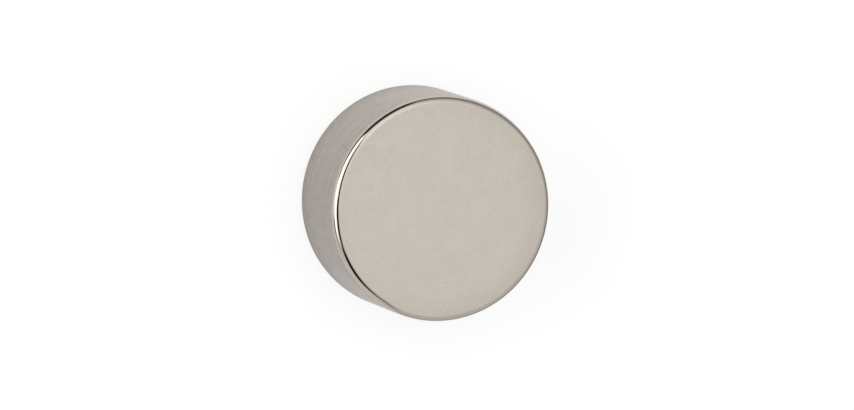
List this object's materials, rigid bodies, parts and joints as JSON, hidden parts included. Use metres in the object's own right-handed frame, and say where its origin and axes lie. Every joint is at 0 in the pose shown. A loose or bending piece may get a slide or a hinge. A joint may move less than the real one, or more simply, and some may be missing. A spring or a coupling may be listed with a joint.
{
  "type": "disc magnet",
  "caption": "Solid nickel-plated disc magnet with flat pole faces and tumbled round edges, to rest on or hold to steel, or to set in a round pocket.",
  "frame": {"origin": "centre of the lower pole face, which the magnet stands on", "axes": "+Z along the magnet's axis, up out of the upper pole face; X and Y are free, because the disc is round"},
  "size_m": [0.01, 0.01, 0.005],
  "materials": {
    "nickel_plating": "satin nickel plate, tumbled edges, fine sintered grain under it"
  },
  "bodies": {
    "root": {"disc_magnet": "nickel_plating"}
  },
  "joints": []
}
